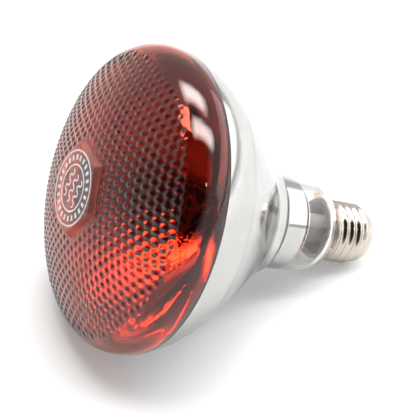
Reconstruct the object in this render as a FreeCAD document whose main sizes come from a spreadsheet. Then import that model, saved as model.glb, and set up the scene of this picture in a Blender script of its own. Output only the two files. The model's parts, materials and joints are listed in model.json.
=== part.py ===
"""Infrared reflector heat lamp: a red pressed-glass lens on a mirrored bulb with a screw cap.

The lamp is modelled about its own axis, which is each body's local Z. A station is a distance along
that axis from the front plane of the lens towards the cap. Every piece then gets the same
placement, in which the lamp lies on a flat surface, on its belly and on the end of its cap.
Lengths are in millimetres and angles in degrees.
"""
import FreeCAD, Part
import math
import os
import Sketcher

DIMENSIONS = {
    # Lens: a dome, a rounded shoulder and a straight band round the rim.
    "rim_radius": 60.75,
    "lens_depth": 31.0,
    "badge_proud": 0.3,
    "dome_edge_turn": 29.8,
    "shoulder_radius": 13.9,
    "lens_wall": 2.6,
    "badge_corner_radius": 18.6,
    "badge_thickness": 2.4,
    "badge_draft": 24.0,
    "print_thickness": 0.05,
    "print_line": 0.65,
    "print_outer_radius": 14.8,
    "print_inner_radius": 9.3,
    "print_dash_length": 2.1,
    "print_dash_width": 1.3,
    "wave_radius": 1.475,
    "wave_gap": 4.3,
    # Seal between lens and bulb.
    "seal_thickness": 0.5,
    "seal_outer_radius": 60.2,
    "seal_inner_radius": 58.3,
    # Bulb: belly, cone, waist, collar, groove, neck and end, joined by tangent arcs.
    "bulb_rim_radius": 60.4,
    "bulb_wall": 2.0,
    "belly_radius": 43.2,
    "cone_radius": 325.0,
    "waist_radius": 28.0,
    "collar_radius": 7.0,
    "groove_radius": 1.6,
    "neck_end_radius": 9.0,
    "rim_lean": 12.9,
    "belly_lean": 38.3,
    "cone_lean": 44.3,
    "waist_lean": 27.5,
    "collar_lean": 60.0,
    "neck_lean": 2.0,
    "neck_end_lean": 52.0,
    "collar_run": 3.3,
    "neck_run": 19.7,
    "mirror_neck_run": 9.4,
    "mirror_film": 0.08,
    "neck_bevel": 0.8,
    "spigot_radius": 11.3,
    "spigot_wall": 1.4,
    "spigot_run": 10.0,
    # Stem, arbor and wires.
    "stem_radius": 6.0,
    "stem_wall": 1.0,
    "stem_floor": 3.0,
    "stem_length": 29.0,
    "flare_run": 6.2,
    "flare_lip": 1.2,
    "press_width": 11.0,
    "press_thickness": 4.6,
    "press_run": 9.0,
    "exhaust_radius": 2.0,
    "exhaust_bore": 1.2,
    "exhaust_length": 31.0,
    "exhaust_tip_run": 3.0,
    "arbor_radius": 1.5,
    "arbor_length": 22.0,
    "button_radius": 2.6,
    "lead_radius": 0.4,
    "lead_offset": 3.2,
    "lead_straight": 4.0,
    "filament_station": 47.0,
    "filament_ring_radius": 11.0,
    "filament_coil_radius": 0.9,
    "filament_sweep": 300.0,
    "support_radius": 0.2,
    "clamp_side": 2.2,
    "clamp_thickness": 1.5,
    "shield_radius": 16.2,
    "shield_thickness": 0.5,
    # Cap: threaded shell, cement, insulator and contact.
    "cap_gap": 0.8,
    "shell_radius": 12.15,
    "shell_wall": 0.45,
    "shell_length": 22.4,
    "shell_taper_run": 4.0,
    "shell_end_radius": 10.7,
    "lip_radius": 12.9,
    "lip_run": 0.9,
    "thread_pitch": 3.629,
    "thread_crest_radius": 13.11,
    "thread_half_width": 1.35,
    "thread_start": 2.6,
    "thread_turns": 4.3,
    "insulator_depth": 2.8,
    "insulator_proud": 2.8,
    "insulator_end_radius": 5.1,
    "contact_radius": 4.8,
    "contact_thickness": 0.6,
    "solder_radius": 2.6,
    "solder_flat_radius": 1.3,
    "solder_thickness": 0.9,
    "fly_lead_radius": 0.3,
    "fly_straight": 1.0,
    "fuse_radius": 1.0,
    "fuse_length": 6.0,
    "fuse_gap": 0.5,
}

DOWN_AXIS = FreeCAD.Vector(0, 1, 0)
UP = FreeCAD.Vector(0, 0, 1)
FULL_TURN = 360.0
HALF_TURN = 180.0
HEX_SIDES = 6
DASH_COUNT = 24
WAVE_COUNT = 3
WAVE_BENDS = 5
SUPPORT_BEARINGS = (-60.0, -20.0, 20.0, 60.0)

doc = FreeCAD.newDocument("heat_lamp")
pieces = []


class Size:
    """A number together with the spreadsheet expression that gives it."""

    def __init__(self, value, text):
        self.value = value
        self.text = text

    def __add__(self, other):
        other = as_size(other)
        return Size(self.value + other.value, f"({self.text} + {other.text})")

    def __sub__(self, other):
        other = as_size(other)
        return Size(self.value - other.value, f"({self.text} - {other.text})")

    def __mul__(self, other):
        other = as_size(other)
        return Size(self.value * other.value, f"({self.text} * {other.text})")

    def __truediv__(self, other):
        other = as_size(other)
        return Size(self.value / other.value, f"({self.text} / {other.text})")


def as_size(number):
    """Let plain numbers mix with sizes."""
    if isinstance(number, Size):
        return number
    return Size(float(number), repr(float(number)))


def sine(angle):
    return Size(math.sin(math.radians(angle.value)), f"sin({angle.text})")


def cosine(angle):
    return Size(math.cos(math.radians(angle.value)), f"cos({angle.text})")


def root(square):
    return Size(math.sqrt(square.value), f"sqrt({square.text})")


def make_sheet():
    """Write the driving dimensions to the spreadsheet and return each as a Size."""
    sheet = doc.addObject("Spreadsheet::Sheet", "Dims")
    sizes = {}
    for row, (name, value) in enumerate(DIMENSIONS.items(), start=1):
        sheet.set(f"A{row}", name)
        sheet.set(f"B{row}", str(value))
        sheet.setAlias(f"B{row}", name)
        sizes[name] = Size(float(value), f"Dims.{name}")
    doc.recompute()
    return sizes


dim = make_sheet()


# Outlines in the half-plane of radius and station

class Trace:
    """Walks an outline of tangent lines and arcs, at a chosen inset from the outer surface.

    A heading is measured from the radial direction towards the cap. The inset lies on the left of
    the walk, which is the inside of the glass.
    """

    def __init__(self, radius, station, heading, inset):
        self.inset = as_size(inset)
        self.heading = as_size(heading)
        self.radius = radius - self.inset * sine(self.heading)
        self.station = station + self.inset * cosine(self.heading)
        self.steps = [(self.radius, self.station)]

    def arc(self, radius, heading):
        """Turn to a new heading round an arc whose outer surface has the given radius."""
        turn = 1.0 if heading.value > self.heading.value else -1.0
        bend = as_size(radius) - self.inset * turn
        self.radius = self.radius + bend * turn * (sine(heading) - sine(self.heading))
        self.station = self.station + bend * turn * (cosine(self.heading) - cosine(heading))
        self.heading = heading
        self.steps.append(("arc", bend, turn))
        self.steps.append((self.radius, self.station))

    def line(self, length):
        self.radius = self.radius + length * cosine(self.heading)
        self.station = self.station + length * sine(self.heading)
        self.steps.append((self.radius, self.station))

    def line_to_station(self, station):
        """Go straight along the axis to a station."""
        self.station = station
        self.steps.append((self.radius, self.station))


def backwards(steps):
    """The same outline walked from its other end."""
    turned = []
    for step in reversed(steps):
        if step[0] == "arc":
            turned.append(("arc", step[1], -step[2]))
        else:
            turned.append(step)
    return turned


def origin_plane(body, role):
    for feature in body.Origin.OriginFeatures:
        if feature.Role == role:
            return feature
    raise ValueError(f"{body.Label} has no {role}")


def new_sketch(body, name, role, offset=0.0):
    """A sketch on one of the body's own origin planes, moved along the plane's normal."""
    sketch = body.newObject("Sketcher::SketchObject", name)
    sketch.AttachmentSupport = (origin_plane(body, role), [""])
    sketch.MapMode = "FlatFace"
    if offset:
        sketch.AttachmentOffset = FreeCAD.Placement(
            FreeCAD.Vector(0, 0, offset.value), FreeCAD.Rotation())
        sketch.setExpression("AttachmentOffset.Base.z", offset.text)
    return sketch


def bind(sketch, constraint, size):
    """Add a constraint whose value is a size from the sheet."""
    index = sketch.addConstraint(constraint)
    sketch.setExpression(f"Constraints[{index}]", size.text)


def pin_point(sketch, edge, end, radius, station):
    """Hold one end of an edge at a radius and a station."""
    origin = (-1, 1)
    if radius.value == 0.0:
        sketch.addConstraint(Sketcher.Constraint("PointOnObject", edge, end, -2))
    else:
        bind(sketch, Sketcher.Constraint("DistanceX", *origin, edge, end, radius.value), radius)
    if station.value == 0.0:
        sketch.addConstraint(Sketcher.Constraint("PointOnObject", edge, end, -1))
    else:
        bind(sketch, Sketcher.Constraint("DistanceY", *origin, edge, end, station.value), station)


def arc_through(start, end, radius, turn):
    """The lesser arc between two points, turning left when turn is positive."""
    chord = end - start
    middle = (start + end) * 0.5
    left = FreeCAD.Vector(-chord.y, chord.x, 0).normalize()
    rise = math.sqrt(radius * radius - chord.Length * chord.Length / 4.0)
    crown = middle + left * (turn * (rise - radius))
    return Part.Arc(start, crown, end)


def draw(sketch, steps):
    """Draw a closed outline and hold every corner and arc radius to the sheet."""
    corners = [step for step in steps if step[0] != "arc"]
    closed = steps + [corners[0]]
    first_edge = sketch.GeometryCount
    position = closed[0]
    bend = None
    for step in closed[1:]:
        if step[0] == "arc":
            bend = step
            continue
        start = FreeCAD.Vector(position[0].value, position[1].value, 0)
        end = FreeCAD.Vector(step[0].value, step[1].value, 0)
        if bend is None:
            edge = sketch.addGeometry(Part.LineSegment(start, end), False)
            first, last = 1, 2
        else:
            edge = sketch.addGeometry(arc_through(start, end, bend[1].value, bend[2]), False)
            first, last = (1, 2) if bend[2] > 0 else (2, 1)
        if edge == first_edge:
            opening = (edge, first)
        else:
            sketch.addConstraint(Sketcher.Constraint("Coincident", *tail, edge, first))
        pin_point(sketch, edge, first, *position)
        if bend is not None:
            bind(sketch, Sketcher.Constraint("Radius", edge, bend[1].value), bend[1])
        tail = (edge, last)
        position = step
        bend = None
    sketch.addConstraint(Sketcher.Constraint("Coincident", *tail, *opening))


def new_body(label):
    body = doc.addObject("PartDesign::Body", label)
    body.Label = label
    pieces.append(body)
    return body


def revolve(body, steps):
    """Add the solid swept by an outline round the lamp's axis."""
    sketch = new_sketch(body, body.Label + "_section", "XZ_Plane")
    draw(sketch, steps)
    turned = body.newObject("PartDesign::Revolution", body.Label + "_turned")
    turned.Profile = sketch
    turned.ReferenceAxis = (sketch, ["V_Axis"])
    turned.Angle = FULL_TURN
    sketch.Visibility = False
    doc.recompute()
    return turned


def turned_body(label, steps):
    body = new_body(label)
    revolve(body, steps)
    return body


def ring_steps(inner, outer, start, end):
    """A rectangular section between two radii and two stations."""
    return [(inner, start), (outer, start), (outer, end), (inner, end)]


# Stations and radii that several pieces share

zero = Size(0.0, "0.0")
RADIAL = as_size(0.0)
AXIAL = as_size(90.0)
crown_station = dim["badge_proud"]
rim_station = dim["lens_depth"]
bulb_station = rim_station + dim["seal_thickness"]
dome_radius = ((dim["rim_radius"] - dim["shoulder_radius"]) / sine(dim["dome_edge_turn"])
               + dim["shoulder_radius"])
band_start = (crown_station + dome_radius * (as_size(1.0) - cosine(dim["dome_edge_turn"]))
              + dim["shoulder_radius"] * cosine(dim["dome_edge_turn"]))


def lens_trace(inset):
    """The lens from its crown on the axis to the rim."""
    trace = Trace(zero, crown_station, RADIAL, inset)
    trace.arc(dome_radius, dim["dome_edge_turn"])
    trace.arc(dim["shoulder_radius"], AXIAL)
    trace.line_to_station(rim_station)
    return trace


def bulb_trace(inset, neck_run):
    """The bulb from its rim as far along the neck as asked."""
    trace = Trace(dim["bulb_rim_radius"], bulb_station, AXIAL + dim["rim_lean"], inset)
    trace.arc(dim["belly_radius"], AXIAL + dim["belly_lean"])
    trace.arc(dim["cone_radius"], AXIAL + dim["cone_lean"])
    trace.arc(dim["waist_radius"], AXIAL + dim["waist_lean"])
    trace.line(dim["collar_run"])
    trace.arc(dim["collar_radius"], AXIAL + dim["collar_lean"])
    trace.arc(dim["groove_radius"], AXIAL + dim["neck_lean"])
    trace.line(neck_run)
    return trace


outer_neck = bulb_trace(zero, dim["neck_run"])
outer_neck.arc(dim["neck_end_radius"], AXIAL + dim["neck_end_lean"])
neck_edge = outer_neck.steps[-1]
bulb_end = neck_edge[1] + dim["neck_bevel"]
spigot_end = bulb_end + dim["spigot_run"]
spigot_bore = dim["spigot_radius"] - dim["spigot_wall"]
shell_start = bulb_end + dim["cap_gap"]
shell_end = shell_start + dim["shell_length"]
shell_inner = dim["shell_radius"] - dim["shell_wall"]
shell_end_inner = dim["shell_end_radius"] - dim["shell_wall"]
insulator_end = shell_end + dim["insulator_proud"]
contact_end = insulator_end + dim["contact_thickness"]
stem_start = spigot_end - dim["stem_length"]
press_start = stem_start - dim["press_run"]


# Lens, print and seal

def hexagon(sketch, corner_radius):
    """A regular hexagon about the sketch's origin, with a flat at its top."""
    corners = []
    for side in range(HEX_SIDES):
        bearing = math.radians(FULL_TURN / HEX_SIDES * side)
        corners.append(FreeCAD.Vector(math.sin(bearing), math.cos(bearing), 0) * corner_radius.value)
    guide = sketch.addGeometry(Part.Circle(FreeCAD.Vector(), UP, corner_radius.value), True)
    sketch.addConstraint(Sketcher.Constraint("Coincident", guide, 3, -1, 1))
    bind(sketch, Sketcher.Constraint("Radius", guide, corner_radius.value), corner_radius)
    edges = []
    for side in range(HEX_SIDES):
        line = Part.LineSegment(corners[side], corners[(side + 1) % HEX_SIDES])
        edges.append(sketch.addGeometry(line, False))
    for side in range(HEX_SIDES):
        after = edges[(side + 1) % HEX_SIDES]
        sketch.addConstraint(Sketcher.Constraint("Coincident", edges[side], 2, after, 1))
        sketch.addConstraint(Sketcher.Constraint("PointOnObject", edges[side], 2, guide))
    for side in range(1, HEX_SIDES):
        sketch.addConstraint(Sketcher.Constraint("Equal", edges[0], edges[side]))
    sketch.addConstraint(Sketcher.Constraint("PointOnObject", edges[0], 1, -2))


def make_lens():
    """Red glass moulding: a domed shell with a raised six-sided badge at its crown."""
    outer = lens_trace(zero)
    inner = lens_trace(dim["lens_wall"])
    body = turned_body("front_lens", outer.steps + backwards(inner.steps))
    sketch = new_sketch(body, "badge_outline", "XY_Plane", dim["badge_thickness"])
    hexagon(sketch, dim["badge_corner_radius"])
    badge = body.newObject("PartDesign::Pad", "badge")
    badge.Profile = sketch
    badge.Reversed = True
    badge.Length = dim["badge_thickness"].value
    badge.setExpression("Length", dim["badge_thickness"].text)
    badge.TaperAngle = -dim["badge_draft"].value
    badge.setExpression("TaperAngle", f"-{dim['badge_draft'].text}")
    sketch.Visibility = False
    doc.recompute()


def primitive(kind, name, placement, **sizes):
    """A Part primitive whose sizes are bound to the sheet."""
    shape = doc.addObject(kind, name)
    for attribute, size in sizes.items():
        setattr(shape, attribute, size.value)
        shape.setExpression(attribute, size.text)
    shape.Placement = placement
    return shape


def at_station(station, turn=0.0):
    """On the lamp's axis at a station, turned about the axis."""
    return FreeCAD.Placement(FreeCAD.Vector(0, 0, station), FreeCAD.Rotation(UP, turn))


def group(label, members):
    """One node made of separate solids."""
    compound = doc.addObject("Part::Compound", label)
    compound.Label = label
    compound.Links = members
    pieces.append(compound)
    return compound


def fused(label, members):
    """One node made of solids that join."""
    fuse = doc.addObject("Part::MultiFuse", label)
    fuse.Label = label
    fuse.Shapes = members
    pieces.append(fuse)
    return fuse


def printed_line(name, radius, sweep, placement):
    """A flat printed line along a circle of a given outer radius, or along part of it."""
    disc = primitive("Part::Cylinder", name + "_disc", placement,
                     Radius=radius, Height=dim["print_thickness"])
    disc.Angle = sweep
    hole = primitive("Part::Cylinder", name + "_hole", placement,
                     Radius=radius - dim["print_line"], Height=dim["print_thickness"])
    line = doc.addObject("Part::Cut", name + "_line")
    line.Base = disc
    line.Tool = hole
    return line


def printed_wave(name, across, station):
    """A printed line of half circles that bend to one side and the other in turn."""
    bends = []
    step = dim["wave_radius"].value * 2.0 - dim["print_line"].value
    for index in range(WAVE_BENDS):
        along = (index - (WAVE_BENDS - 1) / 2.0) * step
        turn = HALF_TURN * ((index + 1) % 2)
        placement = FreeCAD.Placement(FreeCAD.Vector(along, across, station),
                                      FreeCAD.Rotation(UP, turn))
        bends.append(printed_line(f"{name}_{index}", dim["wave_radius"], HALF_TURN, placement))
    wave = doc.addObject("Part::MultiFuse", name)
    wave.Shapes = bends
    return wave


def make_print():
    """Two printed circles, a ring of short dashes between them and three waves in the middle."""
    below = at_station(-dim["print_thickness"].value)
    members = [printed_line("print_outer", dim["print_outer_radius"], FULL_TURN, below),
               printed_line("print_inner", dim["print_inner_radius"], FULL_TURN, below)]
    gap_middle = (dim["print_outer_radius"] - dim["print_line"] + dim["print_inner_radius"]) / 2.0
    middle = gap_middle - dim["print_dash_length"] / 2.0
    for index in range(DASH_COUNT):
        turn = FULL_TURN / DASH_COUNT * index
        offset = FreeCAD.Vector(middle.value, -dim["print_dash_width"].value / 2, 0)
        dash = primitive("Part::Box", f"print_dash_{index}", below,
                         Length=dim["print_dash_length"], Width=dim["print_dash_width"],
                         Height=dim["print_thickness"])
        dash.Placement = at_station(below.Base.z, turn).multiply(
            FreeCAD.Placement(offset, FreeCAD.Rotation()))
        members.append(dash)
    for index in range(WAVE_COUNT):
        across = (index - (WAVE_COUNT - 1) / 2.0) * dim["wave_gap"].value
        members.append(printed_wave(f"print_wave_{index}", across, below.Base.z))
    group("badge_print", members)


def make_seal():
    """Fired glass seal that joins the lens to the bulb."""
    turned_body("rim_seal", ring_steps(dim["seal_inner_radius"], dim["seal_outer_radius"],
                                       rim_station, bulb_station))


# Bulb and its mirror

def make_bulb():
    """Clear glass bulb with a belly, a waist, a collar, a neck and a spigot for the cap."""
    inner = bulb_trace(dim["bulb_wall"], dim["neck_run"])
    inner.arc(dim["neck_end_radius"], AXIAL + dim["neck_end_lean"])
    end = [(neck_edge[0] - dim["neck_bevel"], bulb_end),
           (dim["spigot_radius"], bulb_end),
           (dim["spigot_radius"], spigot_end),
           (spigot_bore, spigot_end),
           (spigot_bore, inner.station)]
    turned_body("reflector_bulb", outer_neck.steps + end + backwards(inner.steps))


def make_mirror():
    """Aluminium film on the inside of the bulb, from the rim part of the way along the neck."""
    outer = bulb_trace(dim["bulb_wall"], dim["mirror_neck_run"])
    inner = bulb_trace(dim["bulb_wall"] + dim["mirror_film"], dim["mirror_neck_run"])
    turned_body("mirror_coating", outer.steps + backwards(inner.steps))


# Stem and everything on it

def make_stem():
    """Glass stem: a flare on the spigot, a tube, a closed floor and a flat press."""
    outer = dim["stem_radius"]
    inner = outer - dim["stem_wall"]
    flare_start = spigot_end - dim["flare_run"]
    lip_inner = spigot_bore - dim["stem_wall"]
    flare = dim["flare_run"] - dim["flare_lip"]
    flare_width = spigot_bore - outer
    bend = (flare * flare + flare_width * flare_width) / (flare_width * 2.0)
    floor = stem_start + dim["stem_floor"]
    steps = [(zero, stem_start), (outer, stem_start), (outer, flare_start),
             ("arc", bend, -1.0),
             (spigot_bore, flare_start + flare), (spigot_bore, spigot_end),
             (lip_inner, spigot_end), (lip_inner, flare_start + flare),
             ("arc", bend, 1.0),
             (inner, flare_start), (inner, floor), (zero, floor)]
    body = turned_body("glass_stem", steps)
    sketch = new_sketch(body, "press_outline", "XY_Plane", stem_start)
    rectangle(sketch, dim["press_width"], dim["press_thickness"])
    press = body.newObject("PartDesign::Pad", "press")
    press.Profile = sketch
    press.Reversed = True
    press.Length = dim["press_run"].value
    press.setExpression("Length", dim["press_run"].text)
    doc.recompute()
    holes = new_sketch(body, "lead_holes", "XY_Plane", press_start)
    for side in (-1, 1):
        centre = FreeCAD.Vector(side * dim["lead_offset"].value, 0, 0)
        hole = holes.addGeometry(Part.Circle(centre, UP, dim["lead_radius"].value), False)
        bind(holes, Sketcher.Constraint("Radius", hole, dim["lead_radius"].value), dim["lead_radius"])
        holes.addConstraint(Sketcher.Constraint("PointOnObject", hole, 3, -1))
        bind(holes, Sketcher.Constraint("DistanceX", -1, 1, hole, 3, centre.x),
             dim["lead_offset"] * side)
    cut = body.newObject("PartDesign::Pocket", "lead_cut")
    cut.Profile = holes
    cut.Reversed = True
    depth = dim["press_run"] + dim["stem_floor"] * 2.0
    cut.Length = depth.value
    cut.setExpression("Length", depth.text)
    doc.recompute()


def rectangle(sketch, width, height):
    """A rectangle centred on the sketch's origin."""
    half = FreeCAD.Vector(width.value / 2, height.value / 2, 0)
    signs = ((-1, -1), (1, -1), (1, 1), (-1, 1))
    corners = [FreeCAD.Vector(x * half.x, y * half.y, 0) for x, y in signs]
    edges = []
    for index, corner in enumerate(corners):
        line = Part.LineSegment(corner, corners[(index + 1) % len(corners)])
        edges.append(sketch.addGeometry(line, False))
    for index, edge in enumerate(edges):
        sketch.addConstraint(Sketcher.Constraint("Coincident", edge, 2,
                                                 edges[(index + 1) % len(edges)], 1))
    for edge, kind in zip(edges, ("Horizontal", "Vertical", "Horizontal", "Vertical")):
        sketch.addConstraint(Sketcher.Constraint(kind, edge))
    sketch.addConstraint(Sketcher.Constraint("Symmetric", edges[0], 1, edges[2], 1, -1, 1))
    bind(sketch, Sketcher.Constraint("DistanceX", edges[0], 1, edges[0], 2, width.value), width)
    bind(sketch, Sketcher.Constraint("DistanceY", edges[1], 1, edges[1], 2, height.value), height)


def make_exhaust():
    """Exhaust tube, drawn down and sealed at its tip."""
    base = stem_start + dim["stem_floor"]
    tip = base + dim["exhaust_length"]
    shoulder = tip - dim["exhaust_tip_run"]
    steps = [(dim["exhaust_bore"], base), (dim["exhaust_radius"], base),
             (dim["exhaust_radius"], shoulder), (dim["support_radius"], tip), (zero, tip),
             (zero, shoulder), (dim["exhaust_bore"], shoulder - dim["exhaust_bore"])]
    turned_body("exhaust_tube", steps)


def wire_between(name, start, end, radius):
    """A straight round wire between two points."""
    run = end - start
    placement = FreeCAD.Placement(start, FreeCAD.Rotation(UP, run))
    wire = primitive("Part::Cylinder", name, placement, Radius=radius)
    wire.Height = run.Length
    return wire


def bent_wire(label, points, radius):
    """A round wire through several points, with a ball at each bend."""
    members = []
    for index in range(len(points) - 1):
        name = f"{label}_run_{index}"
        members.append(wire_between(name, points[index], points[index + 1], radius))
    for index, point in enumerate(points[1:-1]):
        placement = FreeCAD.Placement(point, FreeCAD.Rotation())
        members.append(primitive("Part::Sphere", f"{label}_bend_{index}", placement, Radius=radius))
    return fused(label, members)


def on_ring(radius, bearing, station):
    """A point at a bearing round the axis, measured from the side away from the filament's gap."""
    angle = math.radians(bearing)
    return FreeCAD.Vector(-radius * math.sin(angle), -radius * math.cos(angle), station)


filament_half = dim["filament_sweep"].value / 2
filament_top = dim["filament_station"].value + dim["filament_coil_radius"].value
clamp_top = filament_top + dim["clamp_thickness"].value


def make_leads():
    """The two lead wires, from the open end of the stem through the press to the clamps."""
    for label, side in (("lead_wire_left", -1), ("lead_wire_right", 1)):
        offset = side * dim["lead_offset"].value
        tip = on_ring(dim["filament_ring_radius"].value, -side * filament_half, clamp_top)
        knee = FreeCAD.Vector(tip.x, tip.y, clamp_top + dim["lead_straight"].value)
        points = [FreeCAD.Vector(offset, 0, spigot_end.value),
                  FreeCAD.Vector(offset, 0, press_start.value - dim["lead_straight"].value),
                  knee, tip]
        bent_wire(label, points, dim["lead_radius"])


def make_arbor():
    """Glass rod with a button that holds the filament supports."""
    base = press_start.value - dim["arbor_length"].value
    rod = primitive("Part::Cylinder", "arbor_rod", at_station(base),
                    Radius=dim["arbor_radius"], Height=dim["arbor_length"])
    button = primitive("Part::Sphere", "arbor_button", at_station(base), Radius=dim["button_radius"])
    fused("glass_arbor", [rod, button])
    return base


def make_supports(button_station):
    """Thin wires from the button, each ending in a loop round the filament."""
    members = []
    button = FreeCAD.Vector(0, 0, button_station)
    embed = root(dim["button_radius"] * dim["button_radius"]
                 - dim["support_radius"] * dim["support_radius"])
    loop_radius = dim["filament_coil_radius"] + dim["support_radius"] * 2.0
    for index, bearing in enumerate(SUPPORT_BEARINGS):
        ring = dim["filament_ring_radius"].value
        loop_centre = on_ring(ring, bearing, dim["filament_station"].value)
        tangent = on_ring(1.0, bearing + 90.0, 0.0)
        top = loop_centre + UP * loop_radius.value
        start = button + (top - button).normalize() * embed.value
        wire = wire_between(f"support_wire_{index}", start, top, dim["support_radius"])
        placement = FreeCAD.Placement(loop_centre, FreeCAD.Rotation(UP, tangent))
        loop = primitive("Part::Torus", f"support_loop_{index}", placement,
                         Radius1=loop_radius, Radius2=dim["support_radius"])
        joined = doc.addObject("Part::Fuse", f"support_{index}")
        joined.Base = wire
        joined.Tool = loop
        members.append(joined)
    group("filament_supports", members)


def make_filament():
    """Tungsten coil bent into an open ring; the solid is the coil's outer envelope."""
    start = -90.0 - filament_half
    placement = at_station(dim["filament_station"].value, start)
    coil = primitive("Part::Torus", "filament", placement,
                     Radius1=dim["filament_ring_radius"], Radius2=dim["filament_coil_radius"],
                     Angle3=dim["filament_sweep"])
    coil.Label = "filament"
    pieces.append(coil)


def make_clamps():
    """A crimped clamp on each end of the filament."""
    members = []
    for index, side in enumerate((-1, 1)):
        tip = on_ring(dim["filament_ring_radius"].value, side * filament_half, filament_top)
        half = dim["clamp_side"].value / 2
        corner = tip - FreeCAD.Vector(half, half, 0)
        members.append(primitive("Part::Box", f"clamp_{index}",
                                 FreeCAD.Placement(corner, FreeCAD.Rotation()),
                                 Length=dim["clamp_side"], Width=dim["clamp_side"],
                                 Height=dim["clamp_thickness"]))
    group("filament_clamps", members)


def make_shield():
    """Metal disc round the stem that keeps heat out of the neck."""
    start = stem_start + dim["stem_floor"]
    turned_body("heat_shield", ring_steps(dim["stem_radius"], dim["shield_radius"],
                                          start, start + dim["shield_thickness"]))


# Cap

def make_cement():
    """Basing cement between spigot and shell, with a bead that shows at the neck."""
    steps = [(dim["spigot_radius"], bulb_end), (dim["shell_radius"], bulb_end),
             (dim["shell_radius"], shell_start), (shell_inner, shell_start),
             (shell_inner, spigot_end), (dim["spigot_radius"], spigot_end)]
    turned_body("basing_cement", steps)


def make_shell():
    """Nickel-plated cap shell with a right-handed rolled Edison thread."""
    outer = dim["shell_radius"]
    lip_end = shell_start + dim["lip_run"]
    taper = shell_end - dim["shell_taper_run"]
    steps = [(shell_inner, shell_start), (dim["lip_radius"], shell_start), (outer, lip_end),
             (outer, taper), (dim["shell_end_radius"], shell_end), (shell_end_inner, shell_end),
             (shell_inner, taper)]
    body = turned_body("cap_shell", steps)
    crest = dim["thread_crest_radius"]
    foot = outer - dim["shell_wall"] / 2.0
    rise = crest - foot
    half = dim["thread_half_width"]
    bend = (rise * rise + half * half) / (rise * 2.0)
    middle = shell_start + dim["thread_start"]
    section = new_sketch(body, "thread_section", "XZ_Plane")
    draw(section, [(foot, middle - half), ("arc", bend, 1.0), (foot, middle + half)])
    thread = body.newObject("PartDesign::AdditiveHelix", "thread")
    thread.Profile = section
    thread.ReferenceAxis = (section, ["V_Axis"])
    thread.Mode = "pitch-turns-angle"
    thread.Pitch = dim["thread_pitch"].value
    thread.setExpression("Pitch", dim["thread_pitch"].text)
    thread.Turns = dim["thread_turns"].value
    thread.setExpression("Turns", dim["thread_turns"].text)
    section.Visibility = False
    doc.recompute()


def make_insulator():
    """Black glass insulator in the end of the shell."""
    depth = shell_end - dim["insulator_depth"]
    taper = (shell_inner - shell_end_inner) / dim["shell_taper_run"]
    steps = [(dim["fly_lead_radius"], depth),
             (shell_end_inner + taper * dim["insulator_depth"], depth),
             (shell_end_inner, shell_end),
             (dim["insulator_end_radius"], insulator_end),
             (dim["fly_lead_radius"], insulator_end)]
    turned_body("cap_insulator", steps)


def make_contact():
    """Brass centre contact and its solder button."""
    turned_body("centre_contact", ring_steps(dim["fly_lead_radius"], dim["contact_radius"],
                                             insulator_end, contact_end))
    rise = dim["solder_thickness"]
    steps = [(zero, contact_end), (dim["solder_radius"], contact_end),
             (dim["solder_flat_radius"], contact_end + rise), (zero, contact_end + rise)]
    turned_body("centre_solder", steps)


def make_fly_leads():
    """The lead to the centre contact with its fuse, and the lead soldered to the shell."""
    radius = dim["fly_lead_radius"]
    offset = dim["lead_offset"].value
    straight = dim["fly_straight"].value
    start = spigot_end.value
    fuse_end = start + dim["fuse_length"].value
    centre_points = [FreeCAD.Vector(-offset, 0, start),
                     FreeCAD.Vector(-offset, 0, fuse_end + straight),
                     FreeCAD.Vector(0, 0, shell_end.value - dim["insulator_depth"].value - straight),
                     FreeCAD.Vector(0, 0, contact_end.value)]
    bent_wire("centre_lead", centre_points, radius)
    side_station = start + dim["fuse_length"].value / 2
    wall = shell_inner.value - dim["fly_lead_radius"].value * 2
    side_points = [FreeCAD.Vector(offset, 0, start), FreeCAD.Vector(offset, 0, start + straight),
                   FreeCAD.Vector(wall, 0, side_station)]
    bent_wire("side_lead", side_points, radius)
    placement = FreeCAD.Placement(FreeCAD.Vector(-offset, 0, start + dim["fuse_gap"].value),
                                  FreeCAD.Rotation())
    sleeve = primitive("Part::Cylinder", "fuse_sleeve", placement,
                       Radius=dim["fuse_radius"], Height=dim["fuse_length"])
    bore = primitive("Part::Cylinder", "fuse_bore", placement,
                     Radius=radius, Height=dim["fuse_length"])
    fuse = doc.addObject("Part::Cut", "lead_fuse")
    fuse.Label = "lead_fuse"
    fuse.Base = sleeve
    fuse.Tool = bore
    pieces.append(fuse)
    return FreeCAD.Vector(wall, 0, side_station)


def make_side_solder(joint):
    """Solder that fixes the side lead to the inside of the shell."""
    reach = shell_inner.value - joint.x
    blob = primitive("Part::Sphere", "solder_blob", FreeCAD.Placement(joint, FreeCAD.Rotation()),
                     Radius=dim["fuse_radius"])
    room = primitive("Part::Cylinder", "solder_room", at_station(joint.z - dim["fuse_radius"].value),
                     Radius=shell_inner, Height=dim["fuse_radius"] * 2.0)
    wire_end = wire_between("solder_wire_room", joint - FreeCAD.Vector(reach * 2, 0, 0), joint,
                            dim["fly_lead_radius"])
    trimmed = doc.addObject("Part::Common", "solder_trimmed")
    trimmed.Base = blob
    trimmed.Tool = room
    solder = doc.addObject("Part::Cut", "side_solder")
    solder.Label = "side_solder"
    solder.Base = trimmed
    solder.Tool = wire_end
    pieces.append(solder)


# The lying pose

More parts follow.
